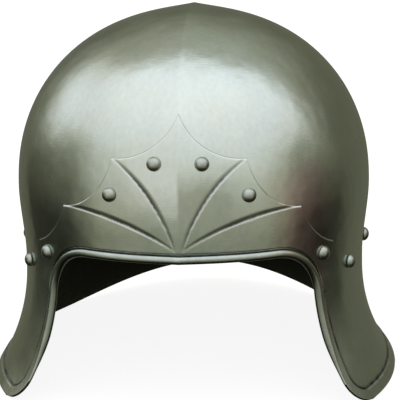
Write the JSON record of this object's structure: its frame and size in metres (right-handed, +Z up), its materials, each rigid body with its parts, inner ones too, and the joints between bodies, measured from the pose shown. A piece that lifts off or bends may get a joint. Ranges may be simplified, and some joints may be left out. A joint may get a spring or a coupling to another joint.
{
  "type": "archer's sallet helmet",
  "caption": "Open-faced steel sallet with a keeled skull, flared cheeks and nape, a riveted scalloped brow plate, leather lining and buckled chin strap",
  "frame": {"origin": "bottom centre of the helmet's box, as it stands on its rim", "axes": "-Y out of the face opening, +Y to the nape, +X to the wearer's left, +Z up"},
  "size_m": [0.2454, 0.2678, 0.2217],
  "materials": {
    "polished_steel": "satin polished",
    "rivet_steel": "polished",
    "lining_leather": "matt",
    "strap_leather": "matt",
    "lace_cord": "matt"
  },
  "bodies": {
    "helmet": {"brow_plate": "polished_steel", "brow_rivet_inner_left": "rivet_steel", "brow_rivet_inner_right": "rivet_steel", "brow_rivet_outer_left": "rivet_steel", "brow_rivet_outer_right": "rivet_steel", "lining_band": "lining_leather", "lining_lace": "lace_cord", "lining_rivet_nape_left": "rivet_steel", "lining_rivet_nape_right": "rivet_steel", "lining_rivet_rear_left": "rivet_steel", "lining_rivet_rear_right": "rivet_steel", "lining_rivet_side_left": "rivet_steel", "lining_rivet_side_right": "rivet_steel", "lining_tongue_1": "lining_leather", "lining_tongue_2": "lining_leather", "lining_tongue_3": "lining_leather", "lining_tongue_4": "lining_leather", "lining_tongue_5": "lining_leather", "lining_tongue_6": "lining_leather", "lining_tongue_7": "lining_leather", "lining_tongue_8": "lining_leather", "lining_washer_nape_left": "rivet_steel", "lining_washer_nape_right": "rivet_steel", "lining_washer_rear_left": "rivet_steel", "lining_washer_rear_right": "rivet_steel", "lining_washer_side_left": "rivet_steel", "lining_washer_side_right": "rivet_steel", "skull": "polished_steel", "strap_rivet_left": "rivet_steel", "strap_rivet_right": "rivet_steel", "strap_washer_left": "rivet_steel", "strap_washer_right": "rivet_steel", "temple_rivet_left": "rivet_steel", "temple_rivet_right": "rivet_steel", "temple_washer_left": "rivet_steel", "temple_washer_right": "rivet_steel"},
    "strap_left": {"chin_strap_left": "strap_leather", "strap_fold_rivet": "rivet_steel", "strap_keeper": "strap_leather"},
    "strap_right": {"chin_strap_right": "strap_leather"},
    "buckle": {"buckle_frame": "rivet_steel"},
    "prong": {"buckle_prong": "rivet_steel"}
  },
  "joints": [
    {"name": "strap_left_swing", "type": "hinge", "parent": "helmet", "child": "strap_left", "pos_m": [0.09453, -0.06112, 0.07851], "axis": [-0.9314, 0.3636, -0.0154], "range_deg": [0, 105]},
    {"name": "strap_right_swing", "type": "hinge", "parent": "helmet", "child": "strap_right", "pos_m": [-0.09453, -0.06112, 0.07851], "axis": [-0.9314, -0.3636, 0.0154], "range_deg": [0, 105]},
    {"name": "buckle_turn", "type": "hinge", "parent": "strap_left", "child": "buckle", "pos_m": [0.08479, 0.0155, 0.07011], "axis": [0.039, 0.1239, 0.9915], "range_deg": [0, 45]},
    {"name": "prong_turn", "type": "hinge", "parent": "buckle", "child": "prong", "pos_m": [0.08479, 0.0155, 0.07011], "axis": [0.039, 0.1239, 0.9915], "range_deg": [0, 45]}
  ]
}
